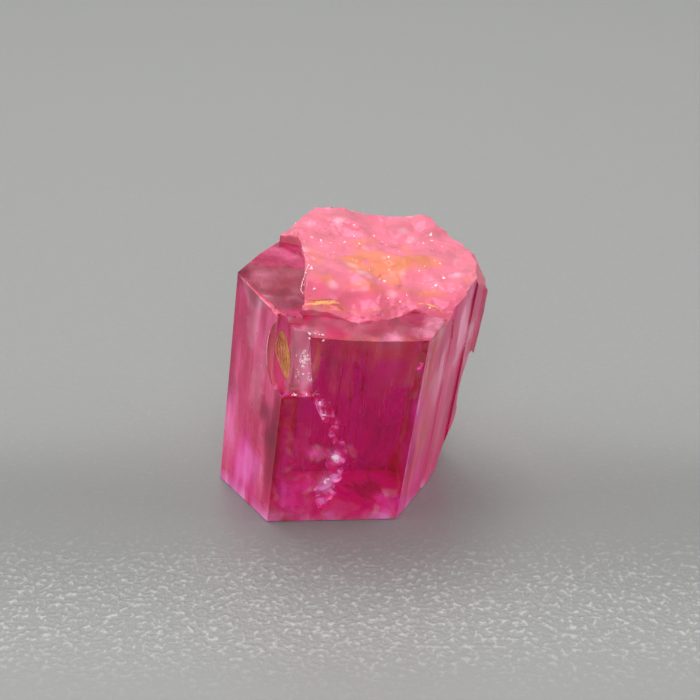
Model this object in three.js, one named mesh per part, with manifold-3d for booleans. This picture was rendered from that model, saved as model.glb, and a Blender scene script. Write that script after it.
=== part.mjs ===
// Red beryl crystal.
//
// A six-sided beryl prism with a flat end face, leaning a little on its broken base.
// Behind a smooth corner and a low front terrace the top is a rough break. The right
// side is ridged, and broken back towards the top and the base. The left front edge is
// chipped, and a chain of small shell-shaped chips runs down the front face.
//
// The crystal is shaped upright in a frame of its own: X runs to the right along the
// front face, Y runs back into the crystal, and Z is its long axis, with z = 0 near the
// base. It is then leaned over, cut flat at the base, and set with the middle of its box
// on the origin. All lengths are in millimetres and all angles in degrees.

import * as THREE from 'three';
import { mergeVertices } from 'three/addons/utils/BufferGeometryUtils.js';
import Module from 'manifold-3d';

const wasm = await Module();
wasm.setup();

// ---------------------------------------------------------------- driving dimensions

// Each prism face: how far its outward normal is turned from the front face's (to the
// right is positive), and how far the face stands from the long axis.
const PRISM_FACES = {
  front: { turn: 0, distance: 1.9 },
  frontRight: { turn: 60, distance: 2.08 },
  backRight: { turn: 120, distance: 2.65 },
  back: { turn: 180, distance: 2.15 },
  backLeft: { turn: 240, distance: 1.55 },
  left: { turn: 270, distance: 1.96 },
  frontLeft: { turn: 300, distance: 1.87 },
};

const END_FACE = 4.56; // height of the flat end face along the long axis
const BASE_REACH = 1.0; // how far the prism runs below z = 0 before the base is cut
const TOP_SPARE = 0.8; // stock above the end face that the top cuts take away

const LEAN_RIGHT = 6.9;
const LEAN_FORWARD = 9.0;
const TURN = 3.3;

// Growth ridges along the prism faces that grew stepped: the share of the face's width
// where they start, how many there are, and how deep the steps between them are.
const RIDGES = {
  frontRight: { start: 0.34, count: 7, depth: 0.06, seed: 3 },
  back: { start: 0.5, count: 5, depth: 0.03, seed: 8 },
};

// The top's rough break: shell-shaped hollows in two sizes on a gently mounded ground.
const BREAK_CELL = 0.17;
const BREAK_OVERLAP = 0.02; // how far the break runs into the smooth faces beside it
const BREAK_HOLLOWS = [
  { spacing: 0.9, depth: 0.2, seed: 11 },
  { spacing: 0.38, depth: 0.11, seed: 23 },
];
const BREAK_LEVEL = -0.05; // from the end face to the bottom of the deepest hollows
const BREAK_MOUNDS = [
  { x: -0.5, y: -0.85, radius: 0.5, height: 0.1 },
  { x: -0.35, y: 2.0, radius: 0.7, height: 0.04 },
  { x: 2.1, y: 0.6, radius: 0.7, height: 0.08 },
];
const BREAK_APRON = { from: -1.35, to: -0.5, drop: 0.19 }; // it dips towards the terrace
const BREAK_FALL = 0.045; // how much lower it gets for each millimetre towards the back

// What is left of the end face: a smooth corner at the top's left front, whose back part
// falls away to the back.
const END_FACE_OUTLINE = [
  [-2.6, -2.4], [-0.83, -2.4], [-0.79, 0.2], [-0.88, 0.88], [-2.6, 1.3],
];
const END_FACE_FOLD = { y: 0.0, turn: -14, fall: 8 };

// The terrace along the top of the front face: a wide shallow trough.
const TERRACE_LOW = -0.14; // from the end face to the bottom of the trough
const TERRACE_RADIUS = 10;
const TERRACE_TILT = 1.0; // how far the trough dips to the left
const TERRACE_BACK = [
  [-2.2, -1.58], [-0.83, -1.55], [-0.83, -1.28], [-0.37, -1.22], [-0.11, -1.31],
  [0.14, -1.42], [0.46, -1.31], [0.76, -1.19], [1.12, -1.05], [1.37, -1.14],
  [1.67, -1.28], [2.4, -1.3],
];

// The step chipped out of the upper left front edge.
const STEP = { floor: 3.17, right: -0.72, depth: 0.15, lean: 8 };

// The chain of small chips: along part of an oval on the front face, from small ones at
// the top to larger ones at the bottom, each with uneven facets.
const CHIP_CHAIN = {
  x: -0.62, z: 1.75, wide: 0.7, high: 1.44, from: 78, to: -44, count: 22, seed: 9,
  small: 0.07, large: 0.14, uneven: 0.3,
};

// Single shell-shaped chips: beside the upper left front edge, a small pit in the front
// face, and a hollow in the right side.
const SHELL_CHIPS = {
  leaf: { x: -1.12, y: -1.64, z: 3.82, wide: 0.42, high: 0.86, deep: 0.14, turn: -60, detail: 5 },
  pit: { x: 1.22, y: -1.9, z: 4.0, wide: 0.05, high: 0.1, deep: 0.04, roll: 20 },
  hollow: { x: 2.56, y: 0.3, z: 2.1, wide: 0.8, high: 0.65, deep: 0.16, turn: 88 },
};

// Broken sides: planes with rough faces. Each is turned as the prism faces are, tipped
// up or down, and stands from the long axis at the given height by the given distance.
const SIDE_BREAKS = {
  upperRight: { turn: 88, tip: 28, distance: 2.51, height: 4.2, seed: 31 },
  lowerRight: { turn: 84, tip: -10, distance: 2.29, height: 1.0, seed: 37 },
  backRight: { turn: 122, tip: -3, distance: 2.38, height: 2.0, seed: 41 },
};
const SIDE_CELL = 0.24;
const SIDE_HOLLOWS = { spacing: 0.75, depth: 0.14 };

// ------------------------------------------------------------------------ mesh helpers

const radians = THREE.MathUtils.degToRad;

function toSolid(geometry) {
  const bare = geometry.clone();
  bare.deleteAttribute('normal');
  bare.deleteAttribute('uv');
  const merged = mergeVertices(bare, 1e-5);
  const vertProperties = new Float32Array(merged.attributes.position.array);
  const triVerts = new Uint32Array(merged.index.array);
  return new wasm.Manifold(new wasm.Mesh({ numProp: 3, vertProperties, triVerts }));
}

function toGeometry(solid) {
  const mesh = solid.getMesh();
  const geometry = new THREE.BufferGeometry();
  geometry.setAttribute('position', new THREE.BufferAttribute(mesh.vertProperties, 3));
  geometry.setIndex(new THREE.BufferAttribute(mesh.triVerts, 1));
  geometry.computeVertexNormals();
  return geometry;
}

// A value from 0 to 1 that depends only on a cell's numbers and a seed.
function cellValue(column, row, seed) {
  const wave = Math.sin(column * 127.1 + row * 311.7 + seed * 74.7) * 43758.5453;
  return wave - Math.floor(wave);
}

// Height of a surface made of shell-shaped hollows that meet in ridges: the squared
// distance to the nearest hollow's middle, from 0 in the middle to about depth on a ridge.
function hollowHeight(x, y, { spacing, depth, seed }) {
  const column = Math.floor(x / spacing);
  const row = Math.floor(y / spacing);
  let nearest = Infinity;
  for (let i = column - 1; i <= column + 1; i += 1) {
    for (let j = row - 1; j <= row + 1; j += 1) {
      const middleX = (i + cellValue(i, j, seed)) * spacing;
      const middleY = (j + cellValue(i, j, seed + 1)) * spacing;
      const level = cellValue(i, j, seed + 2) * 0.5;
      const away = Math.hypot(x - middleX, y - middleY) / spacing;
      nearest = Math.min(nearest, away * away + level);
    }
  }
  return nearest * depth;
}

function moundHeight(x, y, mound) {
  const away = Math.hypot(x - mound.x, y - mound.y) / mound.radius;
  return mound.height * Math.exp(-away * away);
}

// ------------------------------------------------------------------------------ prism

function faceNormal(face) {
  return new THREE.Vector2(Math.sin(radians(face.turn)), -Math.cos(radians(face.turn)));
}

// Where two faces' traces cross, seen along the long axis.
function cornerBetween(first, second) {
  const a = faceNormal(first);
  const b = faceNormal(second);
  const size = a.x * b.y - a.y * b.x;
  return new THREE.Vector2(
    (first.distance * b.y - second.distance * a.y) / size,
    (second.distance * a.x - first.distance * b.x) / size,
  );
}

// The trace of a ridged face: flat bands of uneven width, each set in by its own depth.
function ridgedTrace(from, to, inward, { start, count, depth, seed }) {
  const points = [];
  const share = (1 - start) / count;
  for (let band = 0; band < count; band += 1) {
    const wander = band === 0 ? 0 : (cellValue(band, 0, seed) - 0.5) * share * 0.7;
    const begin = start + band * share + wander;
    const inset = depth * cellValue(band, 1, seed);
    const before = band === 0 ? 0 : depth * cellValue(band - 1, 1, seed);
    const edge = from.clone().lerp(to, begin);
    points.push(edge.clone().addScaledVector(inward, before));
    points.push(from.clone().lerp(to, begin + share * 0.12).addScaledVector(inward, inset));
  }
  return points;
}

function prism() {
  const names = Object.keys(PRISM_FACES);
  const faces = Object.values(PRISM_FACES);
  const corners = faces.map((face, i) => cornerBetween(face, faces[(i + 1) % faces.length]));
  const outline = [];
  faces.forEach((face, i) => {
    const from = corners[(i + faces.length - 1) % faces.length];
    outline.push(from);
    const ridges = RIDGES[names[i]];
    if (ridges) {
      outline.push(...ridgedTrace(from, corners[i], faceNormal(face).negate(), ridges));
    }
  });
  const geometry = new THREE.ExtrudeGeometry(new THREE.Shape(outline), {
    depth: BASE_REACH + END_FACE + TOP_SPARE,
    bevelEnabled: false,
  });
  geometry.translate(0, 0, -BASE_REACH);
  return toSolid(geometry);
}

// ------------------------------------------------------------------------- top cutters

// A block with a flat outline seen along the long axis, from a floor height upwards.
function outlineBlock(points, floor, height = 3) {
  const outline = new THREE.Shape(points.map(([x, y]) => new THREE.Vector2(x, y)));
  const geometry = new THREE.ExtrudeGeometry(outline, { depth: height, bevelEnabled: false });
  geometry.translate(0, 0, floor);
  return geometry;
}

function endFaceCutter() {
  const plan = toSolid(outlineBlock(END_FACE_OUTLINE, END_FACE - 1));
  const flat = toSolid(new THREE.BoxGeometry(8, 8, 2).translate(0, 0, END_FACE + 1));
  const falling = new THREE.BoxGeometry(8, 8, 2);
  falling.translate(0, 0, 1);
  falling.rotateX(radians(-END_FACE_FOLD.fall));
  falling.rotateZ(radians(END_FACE_FOLD.turn));
  falling.translate(0, END_FACE_FOLD.y, END_FACE);
  return plan.intersect(flat.add(toSolid(falling)));
}

function terraceOutline() {
  return [...TERRACE_BACK, [2.4, -3], [-2.2, -3]];
}

function terraceCutter() {
  const plan = toSolid(outlineBlock(terraceOutline(), END_FACE - 1));
  const trough = new THREE.CylinderGeometry(TERRACE_RADIUS, TERRACE_RADIUS, 6, 256);
  trough.translate(0, 0, END_FACE + TERRACE_LOW + TERRACE_RADIUS);
  trough.rotateY(radians(-TERRACE_TILT));
  return plan.intersect(toSolid(trough));
}

// A block whose underside is rough; it takes away everything above that underside.
function roughBlock(width, length, cell, heightAt) {
  const thickness = 2;
  const columns = Math.round(width / cell);
  const rows = Math.round(length / cell);
  const geometry = new THREE.BoxGeometry(width, length, thickness, columns, rows, 1);
  geometry.translate(0, 0, thickness / 2);
  const position = geometry.attributes.position;
  for (let i = 0; i < position.count; i += 1) {
    if (position.getZ(i) === 0) {
      position.setZ(i, heightAt(position.getX(i), position.getY(i)));
    }
  }
  return geometry;
}

function topBreakCutter() {
  const geometry = roughBlock(5.4, 4.8, BREAK_CELL, (x, y) => {
    const hollows = BREAK_HOLLOWS.map((layer) => hollowHeight(x, y, layer));
    const mounds = BREAK_MOUNDS.map((mound) => moundHeight(x, y, mound));
    const rise = THREE.MathUtils.smoothstep(y, BREAK_APRON.from, BREAK_APRON.to);
    const ground = (rise - 1) * BREAK_APRON.drop - Math.max(y, 0) * BREAK_FALL;
    return [...hollows, ...mounds].reduce((sum, height) => sum + height, ground);
  });
  geometry.translate(0, 0, END_FACE + BREAK_LEVEL);
  return [END_FACE_OUTLINE, terraceOutline()].reduce((rough, outline) => {
    const spared = outlineBlock(outline, END_FACE - 1, 4);
    spared.translate(-BREAK_OVERLAP, -BREAK_OVERLAP, 0);
    return rough.subtract(toSolid(spared));
  }, toSolid(geometry));
}

// ------------------------------------------------------------------------ side cutters

function sideBreakCutter({ turn, tip, distance, height, seed }) {
  const geometry = roughBlock(5, 6.5, SIDE_CELL, (x, y) => (
    hollowHeight(x, y, { ...SIDE_HOLLOWS, seed })
  ));
  geometry.rotateX(radians(90 - tip));
  geometry.translate(0, -distance, 0);
  geometry.rotateZ(radians(turn));
  geometry.translate(0, 0, height);
  return toSolid(geometry);
}

function cornerStepCutter() {
  const front = -PRISM_FACES.front.distance;
  const geometry = outlineBlock([
    [STEP.right, front - 0.5], [STEP.right, front + STEP.depth],
    [STEP.right - 0.3, front + STEP.depth], [STEP.right - 1, front - 0.05],
    [STEP.right - 1, front - 0.5],
  ], STEP.floor - END_FACE);
  geometry.translate(-STEP.right, 0, 0);
  geometry.rotateY(radians(-STEP.lean));
  geometry.translate(STEP.right, 0, END_FACE);
  return toSolid(geometry);
}

// Pushes each corner of a unit ball in or out, by up to half the given share.
function pushCorners(ball, share, seed) {
  const corners = ball.attributes.position;
  const corner = new THREE.Vector3();
  for (let i = 0; i < corners.count; i += 1) {
    corner.fromBufferAttribute(corners, i);
    const [column, depth, row] = corner.toArray().map((c) => Math.round(c * 100));
    const push = cellValue(column + 7 * depth, row, seed) - 0.5;
    corner.multiplyScalar(1 + share * push);
    corners.setXYZ(i, corner.x, corner.y, corner.z);
  }
}

// A shell-shaped chip: an ellipsoid sunk into a face, wide across, high along the long
// axis, and as deep as it reaches into the crystal.
function chipCutter({ x, z, wide, high, deep, turn = 0, y, roll = 0, detail = 2, uneven = 0 }) {
  const geometry = new THREE.IcosahedronGeometry(1, detail);
  pushCorners(geometry, uneven, x + z);
  geometry.scale(wide, deep, high);
  geometry.rotateY(radians(roll));
  geometry.rotateZ(radians(turn));
  geometry.translate(x, y ?? -PRISM_FACES.front.distance, z);
  return toSolid(geometry);
}

// The chain of chips down the front face: along part of an oval, each in its own size.
function chipChain() {
  const { x, z, wide, high, from, to, count, seed, small, large, uneven } = CHIP_CHAIN;
  return Array.from({ length: count }, (_, i) => {
    const random = (row) => cellValue(i, row, seed);
    const share = i / (count - 1);
    const around = radians(from + (to - from) * share);
    const size = (small + (large - small) * share) * (0.8 + 0.5 * random(0));
    return chipCutter({
      x: x + wide * Math.cos(around) + (random(1) - 0.7) * 0.16,
      z: z + high * Math.sin(around),
      wide: size,
      high: size * (1 + 0.6 * random(4)),
      deep: 0.04 + 0.06 * random(2),
      uneven,
      roll: 120 * (random(3) - 0.5),
      turn: 40 * (random(5) - 0.5),
      detail: 1,
    });
  });
}

// ------------------------------------------------------------------------------- build

const cutters = [
  topBreakCutter(),
  endFaceCutter(),
  terraceCutter(),
  ...Object.values(SIDE_BREAKS).map(sideBreakCutter),
  cornerStepCutter(),
  ...Object.values(SHELL_CHIPS).map(chipCutter),
  ...chipChain(),
];

const standing = cutters.reduce((solid, cutter) => solid.subtract(cutter), prism());
const lean = new THREE.Euler(radians(LEAN_FORWARD), radians(LEAN_RIGHT), radians(TURN), 'YXZ');
const leaned = toGeometry(standing);
leaned.applyMatrix4(new THREE.Matrix4().makeRotationFromEuler(lean));

const ground = new THREE.BoxGeometry(12, 12, 4);
ground.translate(0, 0, -2);
const resting = toGeometry(toSolid(leaned).subtract(toSolid(ground)));
resting.computeBoundingBox();
const { min, max } = resting.boundingBox;
resting.translate(-(min.x + max.x) / 2, -(min.y + max.y) / 2, 0);

const redBeryl = new THREE.MeshStandardMaterial({ color: 0xb5175a, roughness: 0.08, metalness: 0 });
const crystal = new THREE.Mesh(resting, redBeryl);
crystal.name = 'red_beryl_crystal';

const model = new THREE.Group();
model.add(crystal);

export default model;
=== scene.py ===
"""Red beryl crystal: a short prism with a smooth corner, a front terrace and a rough broken top.

The crystal takes its CAD solid's place with a finely broken surface of the same size, and
carries iron stain, pale streaks with painted edge highlights, healed fractures, growth tubes
and pale flakes that paint glints. All shapes are made in millimetres and written to their
meshes in metres.
"""

import math

import bmesh
import bpy
from mathutils import Euler, Matrix, Vector, noise
from mathutils.bvhtree import BVHTree


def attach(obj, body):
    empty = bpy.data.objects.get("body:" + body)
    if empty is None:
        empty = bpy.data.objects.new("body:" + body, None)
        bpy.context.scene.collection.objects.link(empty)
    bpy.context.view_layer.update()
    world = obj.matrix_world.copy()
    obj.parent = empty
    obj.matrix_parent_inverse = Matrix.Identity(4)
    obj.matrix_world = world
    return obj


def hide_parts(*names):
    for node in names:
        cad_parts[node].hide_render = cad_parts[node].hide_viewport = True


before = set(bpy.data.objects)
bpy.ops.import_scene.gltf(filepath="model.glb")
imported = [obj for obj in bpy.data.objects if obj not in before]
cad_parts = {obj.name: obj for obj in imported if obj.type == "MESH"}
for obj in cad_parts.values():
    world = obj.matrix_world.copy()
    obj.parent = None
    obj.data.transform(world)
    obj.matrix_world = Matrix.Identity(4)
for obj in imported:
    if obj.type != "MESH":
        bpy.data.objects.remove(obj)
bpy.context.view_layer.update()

bl_info = {
    "name": "Red beryl crystal",
    "version": (1, 0, 0),
    "blender": (4, 5, 0),
    "location": "3D View > Sidebar > Red Beryl",
    "description": "Builds a red beryl crystal around its CAD frame, with a small studio",
    "category": "Add Mesh",
}

NODE = "red_beryl_crystal"
BODY = "root"
MM = 0.001

# The crystal's own frame: u runs right along the front face, v out of it, w up the long
# axis. These are the CAD model's lean and the distances of two faces from the long axis.
LEAN_RIGHT = 6.9
LEAN_FORWARD = 9.0
TURN = 3.3
FRONT_FACE = 1.9
LEFT_FACE = 1.96
END_FACE = 4.56

# Facings in the crystal's own frame.
UP = (0.0, 0.0, 1.0)
RISER = (0.0, 0.6, 0.8)
FRONT = (0.0, 1.0, 0.0)
FRONT_LEFT = (-0.866, 0.5, 0.0)
FRONT_RIGHT = (0.866, 0.5, 0.0)


# ---- own frame


def lean_matrix():
    """Turns the crystal's upright frame to where it leans on its base."""
    right = Matrix.Rotation(math.radians(LEAN_RIGHT), 3, "Y")
    forward = Matrix.Rotation(math.radians(LEAN_FORWARD), 3, "X")
    turn = Matrix.Rotation(math.radians(TURN), 3, "Z")
    return right @ forward @ turn


def axis_foot(lean):
    """Where the long axis meets the ground, in mm, from where two prism faces stand."""
    upright = lean.transposed()
    points = [upright @ (v.co / MM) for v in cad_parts[NODE].data.vertices]
    aside = min(p.x for p in points) + LEFT_FACE
    behind = min(p.y for p in points) + FRONT_FACE
    # The foot lies on the ground, so its height along the long axis follows from these.
    up = upright @ Vector((0, 0, 1))
    height = -(aside * up.x + behind * up.y) / up.z
    return lean @ Vector((aside, behind, height))


LEAN = lean_matrix()
FOOT = axis_foot(LEAN)


def place(u, v, w):
    """A point of the crystal's own frame, in mm, in the shared frame, in mm."""
    return LEAN @ Vector((u, -v, w)) + FOOT


def outwards(facing):
    """A facing (u, v, w) of the crystal's own frame as a direction of the shared frame."""
    u, v, w = facing
    return LEAN @ Vector((u, -v, w))


def own(point):
    """The (u, v, w) of a point of the shared frame, in mm."""
    p = LEAN.transposed() @ (point - FOOT)
    return p.x, -p.y, p.z


def own_direction(direction):
    """A direction of the shared frame as (u, v, w) parts of the crystal's own frame."""
    d = LEAN.transposed() @ direction
    return Vector((d.x, -d.y, d.z))


# ---- properties


def colour(name, description, default):
    return bpy.props.FloatVectorProperty(
        name=name, description=description, default=default, size=3, subtype="COLOR",
        min=0, max=1)


def length(name, description, default, **limits):
    return bpy.props.FloatProperty(
        name=name, description=description, default=default, unit="LENGTH", precision=6,
        **limits)


class CrystalProps(bpy.types.PropertyGroup):
    """Sizes and colours of the crystal."""

    grain_edge: length("Mesh edge", "Longest mesh edge on broken surfaces", 0.00005, min=0.00002)
    facet_edge: length(
        "Facet mesh edge", "Longest mesh edge on smooth facets", 0.00012, min=0.00005)
    coarse_size: length("Coarse facet", "Size of the larger facets on broken surfaces", 0.0003)
    coarse_depth: length("Coarse depth", "Depth of the larger facets", 0.000035)
    fine_size: length("Fine facet", "Size of the smaller facets on broken surfaces", 0.00012)
    fine_depth: length("Fine depth", "Depth of the smaller facets", 0.000014)
    wave_depth: length("Wave depth", "Depth of the broad waves of the broken surfaces", 0.000045)
    ior: bpy.props.FloatProperty(
        name="IOR", description="Refractive index of beryl", default=1.57, min=1.0)
    tint: colour("Body colour", "Colour of light deep inside the crystal", (0.986, 0.0, 0.845))
    density: bpy.props.FloatProperty(
        name="Colour density", description="How fast the body colour takes hold, per metre",
        default=1170.0, min=0)
    gloss_tint: colour("Gloss tint", "Tint of what the faces reflect", (1.0, 0.38, 0.66))
    facet_colour: colour("Facet colour", "Colour of light through a smooth face", (1.0, 0.93, 0.95))
    break_colour: colour("Break colour", "Colour of the broken surfaces", (0.86, 0.235, 0.31))
    base_colour: colour("Base colour", "Colour of the worn base", (1.0, 0.38, 0.74))
    deep_break_colour: colour(
        "Deep break colour", "Colour of the clearer parts of the breaks", (0.80, 0.12, 0.22))
    magenta_colour: colour(
        "Magenta haze", "Colour of the deep haze along the front's edges", (0.85, 0.02, 0.42))
    # Mauve paints a dark reflection on the corner facet, and dulls the terrace and the niche.
    mauve_colour: colour(
        "Mauve haze", "Colour of the dull haze of the facets on top", (0.55, 0.21, 0.28))
    # Pale highlight colour: painted highlights on the breaks and in the niche, and the pale of the
    # glint flakes and the streaks.
    pale_highlight_colour: colour("Bruise colour", "Colour of pale bruises and flakes", (1.0, 0.72, 0.80))
    sparkle_colour: colour("Sparkle colour", "Palest colour of the glints", (1.0, 0.85, 0.92))
    # Glint colour paints sparkle on the chips' facets, bright spots on the front and a pink glow
    # along the base.
    glint_colour: colour(
        "Glint colour", "Colour of the bruised facets of the chips", (1.0, 0.27, 0.72))
    # Brown paints the sky's reflection across the top of the front, under the terrace; on the right
    # faces it is a brownish haze.
    brown_colour: colour(
        "Brown haze colour", "Colour of the brownish haze under the terrace", (0.85, 0.16, 0.12))
    ochre_colour: colour("Ochre", "Palest colour of the iron stain", (0.84, 0.39, 0.13))
    rust_colour: colour("Rust", "Middle colour of the iron stain", (0.60, 0.21, 0.07))
    brown_stain_colour: colour(
        "Brown stain", "Darkest colour of the iron stain", (0.34, 0.08, 0.04))
    haze_colour: colour("Haze colour", "Colour of the haze on smooth faces", (1.0, 0.115, 0.35))
    pale_haze_colour: colour(
        "Pale haze", "Colour of the palest haze on smooth faces", (1.0, 0.36, 0.54))
    # Hot pink paints the glow of light gathered near the base and beside the chips; it is also the
    # chips' base tone and the darker colour of the veils' flakes.
    hot_colour: colour(
        "Hot pink haze", "Colour of the bright pink haze near the base", (1.0, 0.06, 0.44))
    deep_haze_colour: colour(
        "Deep haze", "Colour of the darkest haze on smooth faces", (0.34, 0.01, 0.10))
    stain_colour: colour(
        "Stain colour", "Colour of the iron-stained zone of the break", (0.90, 0.30, 0.13))


class StageProps(bpy.types.PropertyGroup):
    """The floor, the lights and the camera."""

    floor_colour: colour("Floor colour", "Colour of the floor", (0.266, 0.27, 0.265))
    floor_radius: length("Floor radius", "Radius of the seamless floor", 0.11)
    grain_size: length("Floor grain", "Size of the floor's fine grain", 0.00008)
    sky: bpy.props.FloatProperty(
        name="Sky", description="Brightness of the grey surroundings", default=0.7, min=0)
    key: bpy.props.FloatProperty(
        name="Key light", description="Brightness of the panel above and behind",
        default=6.8, min=0)
    fill: bpy.props.FloatProperty(
        name="Fill light", description="Brightness of the panels left, right and in front",
        default=4.2, min=0)
    camera_distance: length("Camera distance", "From the camera to the crystal's middle", 0.026415)
    camera_elevation: bpy.props.FloatProperty(
        name="Camera elevation", description="How far the camera looks down",
        default=math.radians(27), subtype="ANGLE")
    lens: bpy.props.FloatProperty(
        name="Lens", description="Focal length in mm", default=72.0, unit="CAMERA")


# ---- node helpers


class Nodes:
    """Adds nodes to a tree. A call gives the new node's first output, or the one asked for."""

    def __init__(self, tree):
        self.tree = tree

    def __call__(self, kind, inputs=None, output=0, **fields):
        node = self.tree.nodes.new(kind)
        for field, value in fields.items():
            setattr(node, field, value)
        for key, value in (inputs or {}).items():
            socket = node.inputs[key]
            if isinstance(value, bpy.types.NodeSocket):
                self.tree.links.new(value, socket)
            else:
                socket.default_value = value
        return node.outputs[output] if node.outputs else None

    def math(self, operation, *values, **fields):
        return self("ShaderNodeMath", dict(enumerate(values)), operation=operation, **fields)

    def vector(self, operation, a, b, output=0):
        second = "Scale" if operation == "SCALE" else 1
        return self("ShaderNodeVectorMath", {0: a, second: b}, output, operation=operation)

    def ramp(self, value, start, end, low=0.0, high=1.0, shape="LINEAR"):
        """Takes a value between start and end to one between low and high."""
        return self(
            "ShaderNodeMapRange", {0: value, 1: start, 2: end, 3: low, 4: high},
            interpolation_type=shape)

    def noise(self, vector, scale, detail, seed=None, output=0):
        inputs = {"Vector": vector, "Scale": scale, "Detail": detail}
        if seed is None:
            return self("ShaderNodeTexNoise", inputs, output)
        return self("ShaderNodeTexNoise", {**inputs, "W": seed}, output, noise_dimensions="4D")

    def blend(self, share, colour, other):
        """Mixes a colour into another by a share."""
        colour, other = (
            c if isinstance(c, bpy.types.NodeSocket) else (*c, 1.0) for c in (colour, other))
        return self("ShaderNodeMix", {0: share, 6: colour, 7: other}, 2, data_type="RGBA")

    def attribute(self, name, kind):
        """A named attribute of the mesh, in a Geometry Nodes tree."""
        return self("GeometryNodeInputNamedAttribute", {"Name": name}, data_type=kind)

    def painted(self, name, output):
        """A named attribute of the mesh, in a material."""
        return self("ShaderNodeAttribute", output=output, attribute_name=name)

    def move(self, geometry, offset):
        return self("GeometryNodeSetPosition", {"Geometry": geometry, "Offset": offset})

    def own_coords(self):
        """Object coordinates as the crystal's own frame in mm; y runs into the front face."""
        lean = LEAN.transposed()
        return self(
            "ShaderNodeMapping",
            {"Vector": self("ShaderNodeTexCoord", output="Object"), "Scale": (1 / MM,) * 3,
             "Rotation": tuple(lean.to_euler()), "Location": tuple(-(lean @ FOOT))},
            vector_type="POINT")


def start_material(name):
    """A material with an empty node tree, and its node maker."""
    material = bpy.data.materials.new(name)
    material.use_nodes = True
    material.node_tree.nodes.clear()
    return material, Nodes(material.node_tree)


def blotched_material(name, pale, dark, grain, spread, gloss):
    """A solid material, blotched between a pale and a dark colour."""
    material, make = start_material(name)
    blotch = make.noise(make.own_coords(), *grain)
    colour = make.blend(make.ramp(blotch, 0.5 - spread, 0.5 + spread), pale, dark)
    shader = make("ShaderNodeBsdfPrincipled", {"Base Color": colour, **gloss})
    make("ShaderNodeOutputMaterial", {"Surface": shader})
    return material


def start_tree(name, sizes):
    """A Geometry Nodes tree's node maker and inputs, with its named sizes in mm."""
    tree = bpy.data.node_groups.new(name, "GeometryNodeTree")
    face = tree.interface
    face.new_socket("Geometry", in_out="INPUT", socket_type="NodeSocketGeometry")
    for size, value in sizes.items():
        socket = face.new_socket(size, in_out="INPUT", socket_type="NodeSocketFloat")
        socket.default_value = value
    face.new_socket("Material", in_out="INPUT", socket_type="NodeSocketMaterial")
    face.new_socket("Geometry", in_out="OUTPUT", socket_type="NodeSocketGeometry")
    return Nodes(tree), tree.nodes.new("NodeGroupInput").outputs


def end_tree(make, geometry, start):
    """Turns a tree's instances into real meshes, gives them their material and ends it."""
    real = make("GeometryNodeRealizeInstances", {"Geometry": geometry})
    finished = make(
        "GeometryNodeSetMaterial", {"Geometry": real, "Material": start["Material"]})
    make("NodeGroupOutput", {"Geometry": finished})
    return make.tree


def finished(bm, name):
    """A mesh from a bmesh, which is freed."""
    mesh = bpy.data.meshes.new(name)
    bm.to_mesh(mesh)
    bm.free()
    return mesh


def grow(name, mesh, tree, values):
    """A piece that a Geometry Nodes tree makes from a mesh in mm, as a plain mesh in metres."""
    piece = show(name, mesh)
    modifier = piece.modifiers.new(tree.name, "NODES")
    modifier.node_group = tree
    for item in tree.interface.items_tree:
        if item.in_out == "INPUT" and item.name in values:
            modifier[item.identifier] = values[item.name]
    graph = bpy.context.evaluated_depsgraph_get()
    result = bpy.data.meshes.new_from_object(piece.evaluated_get(graph), depsgraph=graph)
    result.name = name
    piece.modifiers.clear()
    piece.data = result
    result.transform(Matrix.Scale(MM, 4))
    if not result.polygons:
        raise RuntimeError(f"{name} came out empty")
    return piece


def show(name, mesh):
    """An object for a mesh, linked to the scene, at the origin."""
    piece = bpy.data.objects.new(name, mesh)
    bpy.context.scene.collection.objects.link(piece)
    return piece


# ---- crystal

FACET_AREA = 0.15  # in mm2; a smooth patch at least this large is a facet of the crystal
TOP_FACET_AREA = 0.3  # the same, for a patch that faces up
FACET_BEND = math.radians(5)  # the most that neighbouring triangles of a facet may turn
UPWARD = 0.35  # a direction with at least this upward part faces up
SIDE_BREAK_FRONT = 0.2  # v behind which the right side is broken all over
SIDE_BREAK_FACING = (0.6, 0.3)  # its faces point right by more and forward by less than this
CHIP_ZONE = (1.3, 1.5, 4.3)  # chips lie left of this u, in front of this v and under this w
FOLD = math.radians(35)  # broken surfaces that turn more than this keep a sharp fold
MERGE = 2e-4  # in mm; vertices closer than this are one
SPLIT_STEPS = (0.16, 0.09, 0.06)  # in mm, longest edges on the way to the finest mesh
TURN_GAIN = math.radians(190)  # an edge is turned if its facing angles add up to more
SAME_PLANE = 0.9998  # cosine between facings that count as one


def crystal_start():
    """The CAD node's mesh in mm, with its loose triangles merged."""
    bm = bmesh.new()
    bm.from_mesh(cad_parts[NODE].data)
    bmesh.ops.scale(bm, vec=(1 / MM,) * 3, verts=bm.verts)
    bmesh.ops.remove_doubles(bm, verts=bm.verts, dist=MERGE)
    bm.normal_update()
    return bm


def mark_facets(bm, facet):
    """Numbers the crystal's smooth facets from 1; its broken surfaces keep 0."""
    number = 0
    seen = set()
    for start in bm.faces:
        if start in seen:
            continue
        patch, waiting = [], [start]
        seen.add(start)
        while waiting:
            face = waiting.pop()
            patch.append(face)
            for edge in face.edges:
                if edge.is_manifold and edge.calc_face_angle() < FACET_BEND:
                    fresh = [other for other in edge.link_faces if other not in seen]
                    seen.update(fresh)
                    waiting += fresh
        out = own_direction(start.normal)
        behind = own(start.calc_center_median())[1] < SIDE_BREAK_FRONT
        if behind and out.x > SIDE_BREAK_FACING[0] and out.y < SIDE_BREAK_FACING[1]:
            continue
        least = TOP_FACET_AREA if out.z > UPWARD else FACET_AREA
        if sum(face.calc_area() for face in patch) > least:
            number += 1
            for face in patch:
                face[facet] = number


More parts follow.
